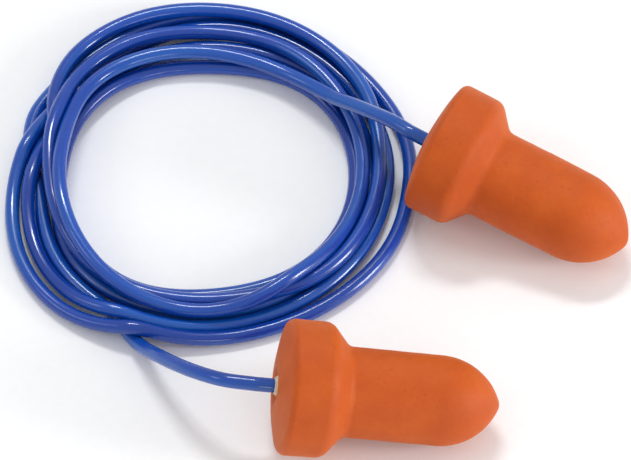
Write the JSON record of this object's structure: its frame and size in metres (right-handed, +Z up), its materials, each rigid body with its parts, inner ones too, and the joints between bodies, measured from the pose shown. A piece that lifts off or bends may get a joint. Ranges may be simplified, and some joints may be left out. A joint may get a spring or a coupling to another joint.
{
  "type": "corded foam ear plugs",
  "caption": "Pair of bell-shaped soft foam ear plugs with flared bases, joined by one thin glossy cord that lies in a loose round coil.",
  "frame": {"origin": "middle of the two plugs' box, on the surface they lie on; the coil of cord is left out", "axes": "+Z up, +Y from the lower plug to the upper one across the pair, +X toward the plugs' noses"},
  "size_m": [0.0676, 0.0622, 0.0154],
  "materials": {
    "foam": "soft closed-skin polyurethane foam, satin",
    "cord": "glossy soft PVC",
    "glue": "clear, slightly yellow adhesive"
  },
  "bodies": {
    "cord": {"cord_coil": "cord", "upper_cord_lead": "cord", "lower_cord_lead": "cord"},
    "upper_tail": {"upper_cord_tail": "cord"},
    "upper_plug": {"upper_plug_foam": "foam", "upper_glue_bond": "glue", "upper_cord_end": "cord"},
    "lower_tail": {"lower_cord_tail": "cord"},
    "lower_plug": {"lower_plug_foam": "foam", "lower_glue_bond": "glue", "lower_cord_end": "cord"}
  },
  "joints": [
    {"name": "upper_plug_swing", "type": "hinge", "parent": "cord", "child": "upper_tail", "pos_m": [-0.008, 0.0215, 0.0072], "axis": [0, 0, 1], "range_deg": [0, 60], "deforming": ["upper_cord_lead", "upper_cord_tail"]},
    {"name": "upper_plug_lift", "type": "hinge", "parent": "upper_tail", "child": "upper_plug", "pos_m": [-0.00427, 0.01806, 0.00866], "axis": [-0.4384, -0.8988, 0], "range_deg": [0, 60], "deforming": ["upper_cord_tail"]},
    {"name": "lower_plug_swing", "type": "hinge", "parent": "cord", "child": "lower_tail", "pos_m": [-0.0282, -0.0128, 0.007], "axis": [0, 0, 1], "range_deg": [-50, 18], "deforming": ["lower_cord_lead", "lower_cord_tail"]},
    {"name": "lower_plug_lift", "type": "hinge", "parent": "lower_tail", "child": "lower_plug", "pos_m": [-0.02117, -0.01573, 0.00866], "axis": [0.0175, -0.9998, 0], "range_deg": [0, 60], "deforming": ["lower_cord_tail"]}
  ]
}
